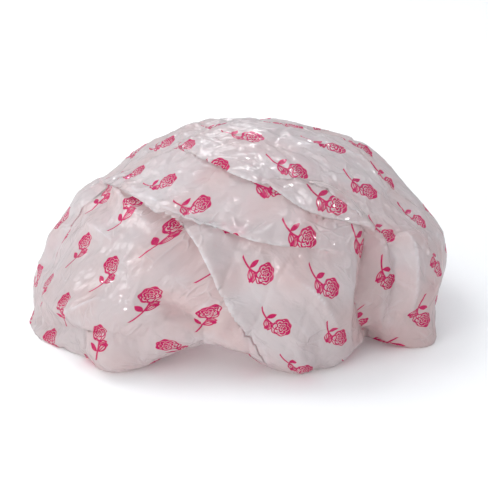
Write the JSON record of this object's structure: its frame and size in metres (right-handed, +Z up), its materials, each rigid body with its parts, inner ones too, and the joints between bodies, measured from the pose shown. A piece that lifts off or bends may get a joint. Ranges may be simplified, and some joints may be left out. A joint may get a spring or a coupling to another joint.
{
  "type": "shower cap",
  "caption": "Slumped dome of thin printed plastic film with a folded hem, a sewn seam and a lapped elastic band that gathers it round the head; lies opening down.",
  "frame": {"origin": "on the table, under the middle of the cap's box", "axes": "+X to the right along the cap's longest side, +Y to the back, +Z up out of the table; the front with the long slanting folds faces -Y"},
  "size_m": [0.2598, 0.2064, 0.1222],
  "materials": {
    "film": "soft gloss, milky and see-through, with a pink sprig print",
    "elastic": "flat ribbed elastic, matte",
    "thread": "polyester sewing thread, slight sheen"
  },
  "bodies": {
    "root": {"printed_film": "film", "elastic_band": "elastic", "elastic_lap_tack": "thread", "seam_needle_thread": "thread", "seam_bobbin_thread": "thread"}
  },
  "joints": []
}
